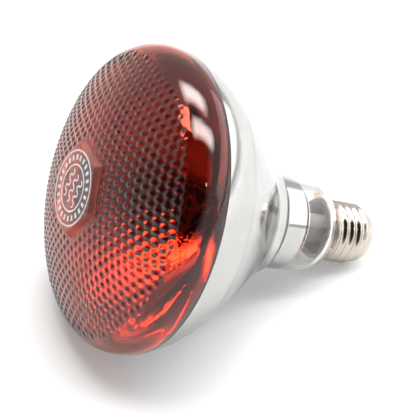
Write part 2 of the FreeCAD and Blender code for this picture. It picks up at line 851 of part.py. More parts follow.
def lying_angle():
    """How far the axis dips towards the cap when the belly and the cap's last thread touch a plane."""
    lean = math.radians(dim["rim_lean"].value)
    belly = dim["belly_radius"].value
    belly_centre_radius = dim["bulb_rim_radius"].value - belly * math.cos(lean)
    belly_centre_station = bulb_station.value - belly * math.sin(lean)
    last_turn = dim["thread_pitch"].value * dim["thread_turns"].value
    crest_station = shell_start.value + dim["thread_start"].value + last_turn
    across = belly_centre_radius - dim["thread_crest_radius"].value
    along = crest_station - belly_centre_station
    angle = math.asin(belly / math.hypot(across, along)) + math.atan2(across, along)
    height = (belly_centre_radius * math.cos(angle) + belly_centre_station * math.sin(angle) + belly)
    return math.degrees(angle), height


def lay_down():
    """Give every piece the lying placement, with the whole lamp centred over the origin."""
    angle, height = lying_angle()
    turn = FreeCAD.Rotation(DOWN_AXIS, 90.0 + angle)
    lying = FreeCAD.Placement(FreeCAD.Vector(0, 0, height), turn)
    low = math.inf
    high = -math.inf
    for piece in pieces:
        shape = piece.Shape.copy()
        shape.Placement = lying.multiply(shape.Placement)
        box = shape.optimalBoundingBox(False, False)
        low = min(low, box.XMin)
        high = max(high, box.XMax)
    lying.Base.x = -(low + high) / 2
    for piece in pieces:
        piece.Placement = lying.multiply(piece.Placement)
    doc.recompute()
    return angle, lying


def check_and_export():
    """Stop on any failed object or unsound shape, then write one STEP file for each piece."""
    for item in doc.Objects:
        if "Invalid" in item.State or "Error" in item.State:
            raise RuntimeError(f"{item.Label} failed: {item.State}")
    for piece in pieces:
        if piece.Shape.isNull() or not piece.Shape.isValid() or not piece.Shape.Solids:
            raise RuntimeError(f"{piece.Label} has no sound shape")
    os.makedirs("parts", exist_ok=True)
    for piece in pieces:
        piece.Shape.exportStep(f"parts/{piece.Label}.step")


make_lens()
make_print()
make_seal()
make_bulb()
make_mirror()
make_shield()
make_stem()
make_exhaust()
make_supports(make_arbor())
make_leads()
make_filament()
make_clamps()
make_cement()
make_shell()
make_insulator()
make_contact()
make_side_solder(make_fly_leads())
doc.recompute()
tilt, lying = lay_down()
check_and_export()

whole = FreeCAD.BoundBox()
for piece in pieces:
    whole.add(piece.Shape.optimalBoundingBox(False, False))
    print(f"{piece.Label:20s} solids {len(piece.Shape.Solids):3d}  volume {piece.Shape.Volume:10.2f}")
print(f"tilt {tilt:.3f}  box {whole}")
print(f"base {lying.Base}")
for name, station in (("band_start", band_start), ("rim", rim_station),
                      ("shell_start", shell_start), ("shell_end", shell_end),
                      ("button_end", contact_end + dim["solder_thickness"])):
    print(f"{name} station {station.value:.4f}")
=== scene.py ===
"""Looks of the infrared heat lamp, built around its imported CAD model. All lengths are in metres."""

import json
import math

import bpy
import numpy as np
from mathutils import Matrix, Vector


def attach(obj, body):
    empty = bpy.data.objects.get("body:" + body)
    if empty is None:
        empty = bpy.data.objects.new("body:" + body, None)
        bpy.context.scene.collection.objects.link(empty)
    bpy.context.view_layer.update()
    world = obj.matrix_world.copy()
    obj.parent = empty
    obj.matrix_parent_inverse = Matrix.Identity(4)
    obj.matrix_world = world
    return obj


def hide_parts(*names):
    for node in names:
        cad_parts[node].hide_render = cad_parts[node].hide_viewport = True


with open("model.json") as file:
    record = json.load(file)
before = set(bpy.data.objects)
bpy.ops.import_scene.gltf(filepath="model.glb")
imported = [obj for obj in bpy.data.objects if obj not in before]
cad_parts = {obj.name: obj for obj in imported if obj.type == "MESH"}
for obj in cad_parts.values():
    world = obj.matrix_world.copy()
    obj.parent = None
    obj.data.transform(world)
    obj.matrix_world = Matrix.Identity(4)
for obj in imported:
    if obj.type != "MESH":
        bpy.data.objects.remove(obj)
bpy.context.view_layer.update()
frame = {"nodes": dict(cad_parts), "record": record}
record = frame["record"]
mounts = {mount["name"]: mount for mount in record["mounts"]}

MM = 0.001
TAU = math.tau
BODY = "root"

# The lamp's own frame: a station is a distance along the axis from the front of the lens.

AXIS = Vector(mounts["cap_thread"]["axis"]).normalized()
RIM_RADIUS = mounts["rim"]["dims"]["r_mm"] * MM
BAND_LENGTH = mounts["rim"]["dims"]["length_mm"] * MM
RIM_STATION = 31.0 * MM
FRONT = Vector(mounts["rim"]["pos_m"]) - AXIS * (RIM_STATION - BAND_LENGTH / 2)
SIDE = Vector((0.0, 1.0, 0.0))
UPWARD = AXIS.cross(SIDE)


def place(radius, bearing, station):
    """A point at a radius, a bearing round the axis measured from straight up, and a station."""
    return FRONT + AXIS * station + (UPWARD * math.cos(bearing) + SIDE * math.sin(bearing)) * radius


def place_all(radius, bearing, station):
    """The same for arrays, as an array of points."""
    radius, bearing, station = np.broadcast_arrays(radius, bearing, station)
    up = np.array(UPWARD)
    side = np.array(SIDE)
    spoke = np.cos(bearing)[..., None] * up + np.sin(bearing)[..., None] * side
    return np.array(FRONT) + station[..., None] * np.array(AXIS) + radius[..., None] * spoke


# Camera

VIEW_BEARING = math.radians(22.25)
VIEW_DIP = math.radians(36.53)
VIEW_DISTANCE = 0.5102
FOCAL_LENGTH = 113.1
SENSOR = 36.0
AIM_RIGHT = 25.2 * MM
AIM_DOWN = 3.3 * MM


def add_camera():
    """A long lens that looks down on the lamp from the lens's side."""
    forward = Vector((math.sin(VIEW_BEARING) * math.cos(VIEW_DIP),
                      math.cos(VIEW_BEARING) * math.cos(VIEW_DIP), -math.sin(VIEW_DIP)))
    right = forward.cross(Vector((0, 0, 1))).normalized()
    down = forward.cross(right)
    rim_centre = FRONT + AXIS * RIM_STATION
    aim = rim_centre + right * AIM_RIGHT + down * AIM_DOWN
    data = bpy.data.cameras.new("camera")
    data.lens = FOCAL_LENGTH
    data.sensor_width = SENSOR
    data.clip_start = 10 * MM
    camera = bpy.data.objects.new("camera", data)
    turn = Matrix((right, -down, -forward)).transposed().to_4x4()
    camera.matrix_world = Matrix.Translation(aim - forward * VIEW_DISTANCE) @ turn
    bpy.context.scene.collection.objects.link(camera)
    bpy.context.scene.camera = camera


# Meshes

CREASE = 30.0


def circle(segments):
    """Evenly spaced bearings round the axis."""
    return np.arange(segments) * TAU / segments


def wrapped_faces(rows, segments):
    """Quads over a grid of points that closes on itself along its rows and round the axis."""
    faces = []
    for row in range(rows):
        after = (row + 1) % rows
        for step in range(segments):
            over = (step + 1) % segments
            faces.append((row * segments + step, after * segments + step,
                          after * segments + over, row * segments + over))
    return faces


def new_piece(name, points, faces, crease):
    """A mesh object with smooth faces, creased where two meet at more than an angle in degrees."""
    mesh = bpy.data.meshes.new(name)
    mesh.from_pydata([tuple(point) for point in points], [], faces)
    mesh.validate()
    mesh.polygons.foreach_set("use_smooth", [True] * len(mesh.polygons))
    mesh.set_sharp_from_angle(angle=math.radians(crease))
    piece = bpy.data.objects.new(name, mesh)
    bpy.context.scene.collection.objects.link(piece)
    return piece


def finish_piece(piece, slot, material, *nodes):
    """Give a piece its material, its body and the CAD nodes that it stands for."""
    piece.data.materials.append(material)
    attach(piece, BODY)
    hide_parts(*nodes)
    return piece


class Trace:
    """Walks an outline of tangent lines and arcs at an inset from the outer surface of the glass."""

    def __init__(self, radius, station, heading, inset):
        self.inset = inset
        self.heading = math.radians(heading)
        self.radius = radius - inset * math.sin(self.heading)
        self.station = station + inset * math.cos(self.heading)
        self.points = [(self.radius, self.station)]

    def arc(self, radius, heading, pieces):
        """Turn to a new heading round an arc whose outer surface has the given radius."""
        end = math.radians(heading)
        turn = 1.0 if end > self.heading else -1.0
        bend = radius - self.inset * turn
        start_radius, start_station, start = self.radius, self.station, self.heading
        for step in range(1, pieces + 1):
            angle = start + (end - start) * step / pieces
            self.radius = start_radius + bend * turn * (math.sin(angle) - math.sin(start))
            self.station = start_station + bend * turn * (math.cos(start) - math.cos(angle))
            self.points.append((self.radius, self.station))
        self.heading = end

    def line(self, length, pieces):
        """Go straight on."""
        for step in range(pieces):
            self.radius += length / pieces * math.cos(self.heading)
            self.station += length / pieces * math.sin(self.heading)
            self.points.append((self.radius, self.station))


def turned(name, outline, segments):
    """A solid of revolution from a closed outline of (radius, station) points."""
    outline = np.array(outline)
    points = place_all(outline[:, 0][:, None], circle(segments)[None, :], outline[:, 1][:, None])
    return new_piece(name, points.reshape(-1, 3), wrapped_faces(len(outline), segments), CREASE)


# Lens

CROWN_STATION = 0.3 * MM
DOME_EDGE_TURN = math.radians(29.8)
SHOULDER_RADIUS = 13.9 * MM
LENS_WALL = 2.6 * MM
DOME_RADIUS = (RIM_RADIUS - SHOULDER_RADIUS) / math.sin(DOME_EDGE_TURN) + SHOULDER_RADIUS
DOME_EDGE = DOME_RADIUS * math.sin(DOME_EDGE_TURN)
BADGE_TOP_APOTHEM = 15.04 * MM
BADGE_DRAFT = math.radians(24.0)
BADGE_ROUNDING = 0.35 * MM
BADGE_MARGIN = 1.9 * MM
HEX = 6
RIM_EDGE = 0.25 * MM
LENS_CREASE = 50.0

# The bumps fade in past the foot of the badge, and fade out with the hollows between
# them at the shoulder.

DIMPLE_PITCH = 3.8 * MM
DIMPLE_HEIGHT = 0.6 * MM
DIMPLE_SHARPNESS = 1.2
DIMPLE_EDGE = 56.0 * MM
BADGE_FADE = 0.8 * MM
BUMP_FADE = (DIMPLE_EDGE - 1.5 * MM, DIMPLE_EDGE + 0.3 * MM)
HOLLOW_FADE = (DIMPLE_EDGE - 2.0 * MM, DIMPLE_EDGE + 0.8 * MM)
RIPPLE_LOWEST, RIPPLE_SPAN = -1.5, 4.5

# Rings of points on the outer face: on the badge, from the hexagon at its foot to a circle, over the
# dome and round the shoulder.

FINE, MEDIUM, COARSE = 840, 420, 210
FACE_SHARES = (0.02, 0.3, 0.6, 0.85)
EDGE_OFFSETS = (-1.0, -0.6, -0.2, 0.2, 0.6, 1.0)
SLOPE_SHARES = (0.4, 0.7, 1.0)
FOOT_PASSES = 12
FOOT_TO_CIRCLE = 1.05
ROUND_FROM = 27.0 * MM
ROUNDING_RINGS = 30
DOME_RING_GAP = 0.4 * MM
SHOULDER_RINGS = 34
FINE_SHOULDER_RINGS = 8
INNER_DOME_STEPS, INNER_SHOULDER_STEPS = 24, 10


def hex_share(bearing):
    """How far a regular hexagon with a flat towards bearing zero reaches, per unit of apothem."""
    wedge = TAU / HEX
    off = (bearing + wedge / 2) % wedge - wedge / 2
    return 1.0 / np.cos(off)


def dome_station(radius):
    """Station of the smooth dome at a radius."""
    return CROWN_STATION + DOME_RADIUS - np.sqrt(DOME_RADIUS ** 2 - radius ** 2)


def smooth_step(value, low, high):
    """Rise smoothly from 0 at a low value to 1 at a high one."""
    share = np.clip((value - low) / (high - low), 0.0, 1.0)
    return share * share * (3.0 - 2.0 * share)


def dimple_depth(radius, bearing):
    """How far the dimpled surface lies behind the smooth dome: round bumps on a hexagonal grid."""
    up = radius * np.cos(bearing)
    across = radius * np.sin(bearing)
    wave = 2.0 * TAU / (math.sqrt(3.0) * DIMPLE_PITCH)
    ripple = sum(np.cos(wave * (up * math.cos(turn) + across * math.sin(turn)))
                 for turn in (0.0, TAU / HEX, -TAU / HEX))
    bump = DIMPLE_HEIGHT * ((ripple - RIPPLE_LOWEST) / RIPPLE_SPAN) ** DIMPLE_SHARPNESS
    hex_reach = radius / hex_share(bearing)
    badge_foot = BADGE_TOP_APOTHEM + BADGE_MARGIN
    bump = bump * smooth_step(hex_reach, badge_foot, badge_foot + BADGE_FADE)
    bump = bump * (1.0 - smooth_step(radius, *BUMP_FADE))
    base = DIMPLE_HEIGHT * (1.0 - smooth_step(radius, *HOLLOW_FADE))
    return base - bump


def shoulder_point(turn):
    """Radius and station on the rounded shoulder where its surface has turned by an angle."""
    radius = RIM_RADIUS - SHOULDER_RADIUS + SHOULDER_RADIUS * np.sin(turn)
    station = RIM_STATION - BAND_LENGTH - SHOULDER_RADIUS * np.cos(turn)
    return radius, station


def lens_rings():
    """Rings of the lens's outer face, from the crown to the band, as (segments, points)."""
    rings = []
    slope = 1.0 / math.tan(BADGE_DRAFT)
    coarse, medium, fine = circle(COARSE), circle(MEDIUM), circle(FINE)
    corner = hex_share(medium)

    def ring(bearing, radius, station):
        rings.append((len(bearing), place_all(radius, bearing, station)))

    def dome_ring(bearing, radius):
        ring(bearing, radius, dome_station(radius) + dimple_depth(radius, bearing))

    def badge_fall(reach):
        """How far the badge's edge and side lie behind its flat top."""
        past = reach - BADGE_TOP_APOTHEM
        rounded = (past + BADGE_ROUNDING) ** 2 / (4 * BADGE_ROUNDING) * slope
        falling = np.where(past > BADGE_ROUNDING, past * slope, rounded)
        return np.where(past < -BADGE_ROUNDING, 0.0, falling)

    foot_reach = np.full(MEDIUM, BADGE_TOP_APOTHEM)
    for _ in range(FOOT_PASSES):
        foot_reach = BADGE_TOP_APOTHEM + (dome_station(foot_reach * corner) + DIMPLE_HEIGHT) / slope
    for share in FACE_SHARES:
        ring(coarse, hex_share(coarse) * BADGE_TOP_APOTHEM * share, 0.0)
    side_start = BADGE_TOP_APOTHEM + BADGE_ROUNDING
    reaches = [BADGE_TOP_APOTHEM + offset * BADGE_ROUNDING for offset in EDGE_OFFSETS]
    reaches += [side_start + (foot_reach - side_start) * share for share in SLOPE_SHARES]
    for reach in reaches:
        radius = corner * reach
        ring(medium, radius, badge_fall(radius / corner))
    foot = corner * foot_reach
    middle = foot_reach.mean() * FOOT_TO_CIRCLE
    for step in range(1, ROUNDING_RINGS + 1):
        share = step / ROUNDING_RINGS
        bend = smooth_step(share, 0.0, 1.0)
        even = middle + (ROUND_FROM - middle) * share
        shaped = foot + (ROUND_FROM - foot) * share
        dome_ring(medium, shaped * (1 - bend) + even * bend)
    steps = round((DOME_EDGE - ROUND_FROM) / DOME_RING_GAP)
    for step in range(1, steps + 1):
        dome_ring(fine, np.full(FINE, ROUND_FROM + (DOME_EDGE - ROUND_FROM) * step / steps))
    for step in range(1, SHOULDER_RINGS + 1):
        turn = DOME_EDGE_TURN + (math.pi / 2 - DOME_EDGE_TURN) * step / SHOULDER_RINGS
        radius, station = shoulder_point(turn)
        bearing = fine if step <= FINE_SHOULDER_RINGS else medium
        depth = dimple_depth(np.full(len(bearing), radius), bearing)
        ring(bearing, radius, station + depth * math.cos(turn))
    return rings


def lens_outline_inside():
    """Radii and stations of the lens's inner face, from the rim to near the crown."""
    trace = Trace(0.0, CROWN_STATION, 0.0, LENS_WALL)
    trace.arc(DOME_RADIUS, math.degrees(DOME_EDGE_TURN), INNER_DOME_STEPS)
    trace.arc(SHOULDER_RADIUS, 90.0, INNER_SHOULDER_STEPS)
    trace.points.append((trace.radius, RIM_STATION))
    return trace.points[1:][::-1]


def join_rings(faces, before, after):
    """Faces between two rings, each (segments, first index); one may have twice the other's points."""
    near_count, near = before
    far_count, far = after
    if near_count == far_count:
        for step in range(near_count):
            over = (step + 1) % near_count
            faces.append((near + step, far + step, far + over, near + over))
    elif far_count == near_count * 2:
        for step in range(near_count):
            over = (step + 1) % near_count
            middle = far + step * 2 + 1
            last = far + (step * 2 + 2) % far_count
            faces.append((near + step, far + step * 2, middle))
            faces.append((near + step, middle, near + over))
            faces.append((near + over, middle, last))
    else:
        for step in range(far_count):
            over = (step + 1) % far_count
            middle = near + step * 2 + 1
            last = near + (step * 2 + 2) % near_count
            faces.append((far + step, middle, near + step * 2))
            faces.append((far + step, far + over, middle))
            faces.append((far + over, last, middle))


def mark_badge_edge(piece):
    """Store 1 on the sloping sides of the badge and 0 elsewhere, for the material's haze and its
    painted light.
    """
    places = np.array([vertex.co[:] for vertex in piece.data.vertices]) - np.array(FRONT)
    station = places @ np.array(AXIS)
    up = places @ np.array(UPWARD)
    across = places @ np.array(SIDE)
    reach = np.hypot(up, across) / hex_share(np.arctan2(across, up))
    on_edge = (reach > BADGE_TOP_APOTHEM - BADGE_ROUNDING) & (reach < BADGE_TOP_APOTHEM + BADGE_MARGIN)
    on_edge &= station < CROWN_STATION + LENS_WALL - BADGE_ROUNDING
    mark = piece.data.attributes.new("badge", "FLOAT", "POINT")
    mark.data.foreach_set("value", on_edge.astype(np.float32))


def make_lens(material):
    """Red glass moulding with bumps, a raised badge, a smooth shoulder and a smooth inside."""
    rings = lens_rings()
    inside = lens_outline_inside()
    edge = [(RIM_RADIUS, RIM_STATION - RIM_EDGE), (RIM_RADIUS - RIM_EDGE, RIM_STATION), inside[0]]
    for segments, outline in ((MEDIUM, edge), (COARSE, inside[1:])):
        for radius, station in outline:
            rings.append((segments, place_all(radius, circle(segments), station)))
    points = [np.array([place(0.0, 0.0, 0.0)])]
    faces = []
    starts = []
    total = 1
    for count, ring in rings:
        starts.append((count, total))
        points.append(ring)
        total += count
    first_count, first = starts[0]
    for step in range(first_count):
        faces.append((0, first + step, first + (step + 1) % first_count))
    for before, after in zip(starts, starts[1:]):
        join_rings(faces, before, after)
    points.append(np.array([place(0.0, 0.0, CROWN_STATION + LENS_WALL)]))
    last_count, last = starts[-1]
    for step in range(last_count):
        faces.append((last + step, total, last + (step + 1) % last_count))
    piece = new_piece("lens", np.concatenate(points), faces, LENS_CREASE)
    mark_badge_edge(piece)
    return finish_piece(piece, "red_glass", material, "front_lens")


# Bulb and mirror

BULB_RIM_RADIUS = 60.4 * MM
BULB_STATION = RIM_STATION + 0.5 * MM
BULB_WALL = 2.0 * MM
RIM_LEAN = 102.9
BELLY_ARCS = (
    # radius of the outer surface in metres, lean of the outline at the end in degrees, steps
    (43.2 * MM, 128.3, 24),   # belly
    (325.0 * MM, 134.3, 24),  # cone
    (28.0 * MM, 117.5, 12),   # waist
)
WAIST_RUN, WAIST_STEPS = 3.3 * MM, 3
COLLAR_ARCS = (
    (7.0 * MM, 150.0, 10),  # collar
    (1.6 * MM, 92.0, 10),   # groove
)
NECK_RUN, NECK_STEPS = 19.7 * MM, 12
NECK_END_RADIUS, NECK_END_LEAN = 9.0 * MM, 142.0
OUTER_END_STEPS, INNER_END_STEPS = 16, 12
NECK_BEVEL = 0.8 * MM
BEVEL_IN, BEVEL_ALONG = 0.2, 0.6
MIRROR_NECK_RUN = 9.4 * MM
MIRROR_SINK = 0.04 * MM
MIRROR_FILM = 0.12 * MM
SPIGOT_RADIUS = 11.3 * MM
SPIGOT_WALL = 1.4 * MM
SPIGOT_RUN = 10.0 * MM
BULB_SEGMENTS = 288


def bulb_trace(inset, neck_run):
    """The bulb from its rim as far along the neck as asked."""
    trace = Trace(BULB_RIM_RADIUS, BULB_STATION, RIM_LEAN, inset)
    for radius, lean, steps in BELLY_ARCS:
        trace.arc(radius, lean, steps)
    trace.line(WAIST_RUN, WAIST_STEPS)
    for radius, lean, steps in COLLAR_ARCS:
        trace.arc(radius, lean, steps)
    trace.line(neck_run, NECK_STEPS)
    return trace


def make_bulb(material):
    """Clear glass bulb with a rounded edge where the neck turns in to the cap."""
    outer = bulb_trace(0.0, NECK_RUN)
    outer.arc(NECK_END_RADIUS, NECK_END_LEAN, OUTER_END_STEPS)
    inner = bulb_trace(BULB_WALL, NECK_RUN)
    inner.arc(NECK_END_RADIUS, NECK_END_LEAN, INNER_END_STEPS)
    end = outer.station + NECK_BEVEL
    bore = SPIGOT_RADIUS - SPIGOT_WALL
    tail = [(outer.radius - NECK_BEVEL * BEVEL_IN, outer.station + NECK_BEVEL * BEVEL_ALONG),
            (outer.radius - NECK_BEVEL, end), (SPIGOT_RADIUS, end),
            (SPIGOT_RADIUS, end + SPIGOT_RUN), (bore, end + SPIGOT_RUN), (bore, inner.station)]
    outline = outer.points + tail + inner.points[::-1]
    piece = turned("bulb", outline, BULB_SEGMENTS)
    return finish_piece(piece, "clear_glass", material, "reflector_bulb")


def make_mirror(material):
    """Aluminium film, bedded slightly in the inner face of the bulb so that no gap shows."""
    outer = bulb_trace(BULB_WALL - MIRROR_SINK, MIRROR_NECK_RUN)
    inner = bulb_trace(BULB_WALL - MIRROR_SINK + MIRROR_FILM, MIRROR_NECK_RUN)
    piece = turned("mirror", outer.points + inner.points[::-1], BULB_SEGMENTS)
    return finish_piece(piece, "mirror_film", material, "mirror_coating")


# Badge print

PRINT_THICKNESS = 0.05 * MM
PRINT_LINE = 0.65 * MM
PRINT_OUTER = 14.8 * MM
PRINT_INNER = 9.3 * MM
DASHES = 24
DASH_LENGTH = 2.1 * MM
DASH_WIDTH = 1.3 * MM
WAVES = 3
WAVE_GAP = 4.3 * MM
WAVE_BENDS = 5
WAVE_RADIUS = 1.15 * MM
WAVE_LINE = 0.65 * MM
RING_STEPS, DASH_STEPS, BEND_STEPS = 128, 6, 16


class Flat:
    """Thin flat shapes printed on the badge, gathered into one mesh."""

    def __init__(self):
        self.points = []
        self.faces = []

    def shape(self, left, right, closed):
        """A solid strip between two equally long rows of (up, across) points."""
        start = len(self.points)
        rows = len(left)
        for near, far in zip(left, right):
            for up, across in (near, far):
                for station in (-PRINT_THICKNESS, 0.0):
                    self.points.append(FRONT + AXIS * station + UPWARD * up + SIDE * across)
        for row in range(rows if closed else rows - 1):
            here = start + row * 4
            there = start + (row + 1) % rows * 4
            for first, second in ((0, 2), (2, 3), (3, 1), (1, 0)):
                self.faces.append((here + first, here + second, there + second, there + first))
        if not closed:
            last = start + (rows - 1) * 4
            self.faces.append((start, start + 1, start + 3, start + 2))
            self.faces.append((last, last + 2, last + 3, last + 1))

    def arc(self, centre, radius, width, start, sweep, steps):
        """A strip along an arc; a full sweep closes on itself."""
        closed = sweep >= TAU
        left, right = [], []
        for step in range(steps if closed else steps + 1):
            angle = start + sweep * step / steps
            for row, reach in ((left, radius - width / 2), (right, radius + width / 2)):
                row.append((centre[0] + reach * math.cos(angle), centre[1] + reach * math.sin(angle)))
        self.shape(left, right, closed)


def make_print(material):
    """Two rings, a circle of dashes and three rising waves of heat."""
    flat = Flat()
    for radius in (PRINT_OUTER, PRINT_INNER):
        flat.arc((0.0, 0.0), radius - PRINT_LINE / 2, PRINT_LINE, 0.0, TAU, RING_STEPS)
    middle = (PRINT_OUTER - PRINT_LINE + PRINT_INNER) / 2
    for dash in range(DASHES):
        angle = TAU * dash / DASHES
        half = DASH_WIDTH / 2 / middle
        flat.arc((0.0, 0.0), middle, DASH_LENGTH, angle - half, half * 2, DASH_STEPS)
    for wave in range(WAVES):
        across = (wave - (WAVES - 1) / 2) * WAVE_GAP
        for bend in range(WAVE_BENDS):
            up = (bend - (WAVE_BENDS - 1) / 2) * WAVE_RADIUS * 2
            start = 0.0 if bend % 2 else math.pi
            flat.arc((up, across), WAVE_RADIUS, WAVE_LINE, start, math.pi, BEND_STEPS)
    piece = new_piece("print", flat.points, flat.faces, CREASE)
    return finish_piece(piece, "print_ink", material, "badge_print")


# Filament

FILAMENT_STATION = 47.0 * MM
FILAMENT_RING = 11.0 * MM
FILAMENT_COIL = 0.75 * MM
FILAMENT_WIRE = 0.14 * MM
FILAMENT_SWEEP = math.radians(300.0)
FILAMENT_TURNS = 84
TURN_STEPS = 14
WIRE_SIDES = 6
WIRE_CREASE = 60.0
OFF_PATH = (0.3, 0.2, 0.9)  # any direction that a wire doesn't start along


def tube(points, radius, sides):
    """Points and faces of a round wire along a path, with flat ends."""
    path = np.array([tuple(point) for point in points])
    ahead = np.gradient(path, axis=0)
    ahead /= np.linalg.norm(ahead, axis=1)[:, None]
    normal = np.cross(ahead[0], OFF_PATH)
    angles = circle(sides)
    rings = []
    for point, direction in zip(path, ahead):
        normal = normal - direction * (normal @ direction)
        normal /= np.linalg.norm(normal)
        other = np.cross(direction, normal)
        around = np.cos(angles)[:, None] * normal + np.sin(angles)[:, None] * other
        rings.append(point + radius * around)
    faces = []
    for ring in range(len(rings) - 1):
        for side in range(sides):
            over = (side + 1) % sides
            faces.append((ring * sides + side, ring * sides + over,
                          (ring + 1) * sides + over, (ring + 1) * sides + side))
    faces.append(tuple(range(sides))[::-1])
    faces.append(tuple((len(rings) - 1) * sides + side for side in range(sides)))
    return np.concatenate(rings), faces


def make_filament(material):
    """Tungsten wire wound into a coil that is bent round the arbor."""
    node = frame["nodes"]["filament"]
    turn = np.array(node.matrix_world.to_3x3())
    places = np.array([vertex.co[:] for vertex in node.data.vertices]) @ turn.T
    places = places + np.array(node.matrix_world.translation) - np.array(FRONT)
    middle = places.mean(axis=0)
    facing = math.atan2(middle @ np.array(SIDE), middle @ np.array(UPWARD))
    path = []
    steps = FILAMENT_TURNS * TURN_STEPS
    for step in range(steps + 1):
        bearing = facing - FILAMENT_SWEEP / 2 + FILAMENT_SWEEP * step / steps
        wind = TAU * step / TURN_STEPS
        path.append(place(FILAMENT_RING + FILAMENT_COIL * math.cos(wind), bearing,
                          FILAMENT_STATION + FILAMENT_COIL * math.sin(wind)))
    points, faces = tube(path, FILAMENT_WIRE, WIRE_SIDES)
    piece = new_piece("filament_coil", points, faces, WIRE_CREASE)
    return finish_piece(piece, "tungsten", material, "filament")


# Cap

BULB_END = 115.166 * MM
SHELL_START = BULB_END + 0.8 * MM
SHELL_LENGTH = 22.4 * MM
SHELL_RADIUS = 12.15 * MM
SHELL_WALL = 0.45 * MM
SHELL_TAPER = 4.0 * MM
SHELL_END_RADIUS = 10.7 * MM
LIP_RADIUS = 12.9 * MM
LIP_RUN = 0.9 * MM
THREAD_PITCH = 3.629 * MM
THREAD_CREST = 13.11 * MM
THREAD_START = 2.6 * MM
THREAD_TURNS = 4.3
THREAD_FADE = 0.35
CAP_SEGMENTS = 192
CAP_STEP = 0.14 * MM
CAP_CREASE = 40.0
TAPER_PAST_END = 0.6


def make_cap(material):
    """Nickel shell whose rolled thread is a smooth wave running round it."""
    rows = round(SHELL_LENGTH / CAP_STEP) + 1
    stations = np.linspace(SHELL_START, SHELL_START + SHELL_LENGTH, rows)
    along = stations - SHELL_START
    bearings = circle(CAP_SEGMENTS)
    taper_end = SHELL_LENGTH + SHELL_TAPER * TAPER_PAST_END
    taper = smooth_step(along, SHELL_LENGTH - SHELL_TAPER, taper_end)
    plain = SHELL_RADIUS - (SHELL_RADIUS - SHELL_END_RADIUS) * np.minimum(taper / taper[-1], 1.0)
    lip = (LIP_RADIUS - SHELL_RADIUS) * np.sqrt(np.clip(1.0 - along / LIP_RUN, 0.0, 1.0))
    # The thread is right-handed: wound is the share of a turn that it has run at each bearing.
    wound = (1.0 - bearings[None, :] / TAU) % 1.0
    turn = (along[:, None] - THREAD_START) / THREAD_PITCH - wound
    nearest = np.clip(np.round(turn), 0, math.floor(THREAD_TURNS))
    local = turn - nearest
    reached = nearest + wound
    fade = smooth_step(reached, 0.0, THREAD_FADE)
    fade = fade * (1.0 - smooth_step(reached, THREAD_TURNS - THREAD_FADE, THREAD_TURNS))
    wave = np.where(np.abs(local) < 0.5, 0.5 + 0.5 * np.cos(TAU * local), 0.0)
    outer = (plain + lip)[:, None] + (THREAD_CREST - SHELL_RADIUS) * wave * fade
    inner = outer - SHELL_WALL
    grid = np.concatenate([outer, inner[::-1]])
    height = np.concatenate([stations, stations[::-1]])
    points = place_all(grid, bearings[None, :], height[:, None])
    faces = wrapped_faces(len(height), CAP_SEGMENTS)
    piece = new_piece("cap", points.reshape(-1, 3), faces, CAP_CREASE)
    return finish_piece(piece, "cap_nickel", material, "cap_shell")


# Materials

# Where most values of a noise pattern lie.

NOISE_LOW, NOISE_HIGH = 0.3, 0.7


